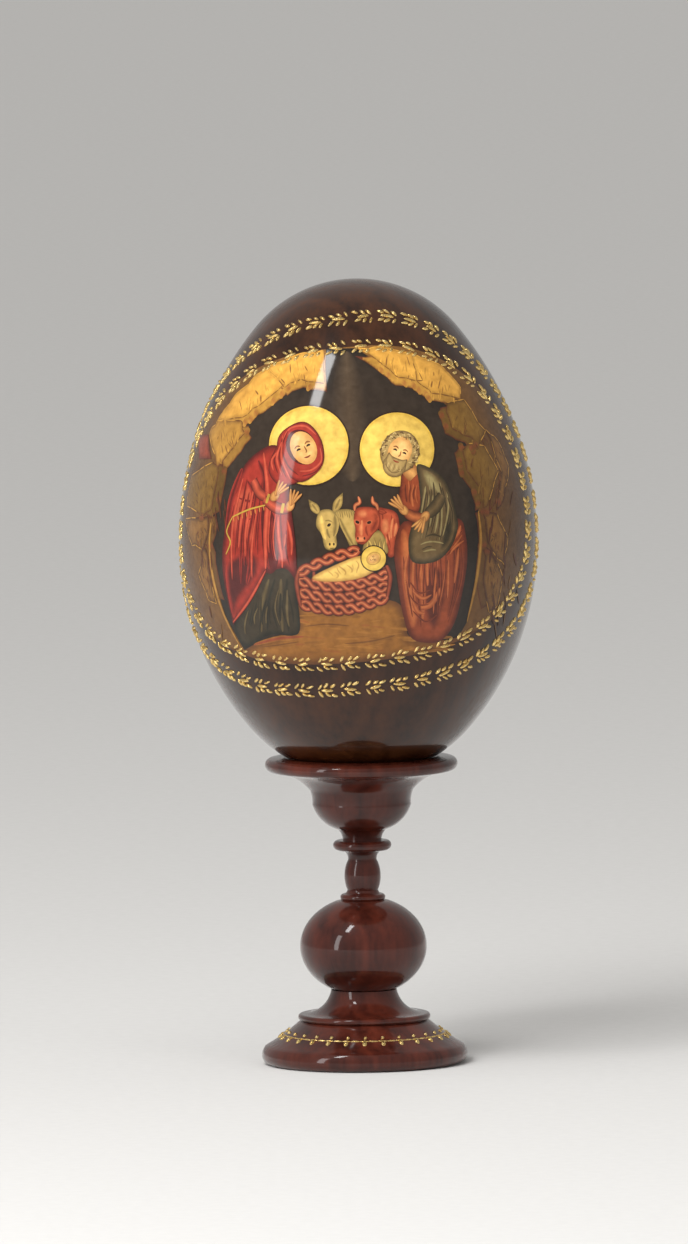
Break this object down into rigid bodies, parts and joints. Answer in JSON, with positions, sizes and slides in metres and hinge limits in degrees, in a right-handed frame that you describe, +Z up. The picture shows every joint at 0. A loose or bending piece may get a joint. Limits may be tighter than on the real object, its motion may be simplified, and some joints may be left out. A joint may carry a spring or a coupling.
{
  "type": "icon egg on stand",
  "caption": "Lacquered wooden egg with a printed devotional picture and raised gold sprig rows, resting in the cup of a turned wooden stand.",
  "frame": {"origin": "centre of the foot's underside, on the surface that the stand rests on", "axes": "+Z up through the stand and the egg, the picture faces -Y, +X to the viewer's right"},
  "size_m": [0.0721, 0.0714, 0.1572],
  "materials": {
    "egg_lacquer": "high-gloss clear lacquer over dark burgundy-brown wood",
    "printed_picture": "printed paper sealed flush under glossy clear lacquer",
    "gold_relief": "raised gold relief paint, bright and slightly rough",
    "stand_lacquer": "glossy mahogany-red lacquer on turned wood"
  },
  "bodies": {
    "stand": {"stand_cup": "stand_lacquer", "stand_spindle": "stand_lacquer", "stand_base": "stand_lacquer", "foot_garland": "gold_relief"},
    "egg": {"egg_body": "egg_lacquer", "icon_print": "printed_picture", "picture_garland": "gold_relief", "outer_garland": "gold_relief"}
  },
  "joints": [
    {"name": "egg_lift", "type": "slide", "parent": "stand", "child": "egg", "axis": [0, 0, 1], "range_m": [0, 0.03]}
  ]
}
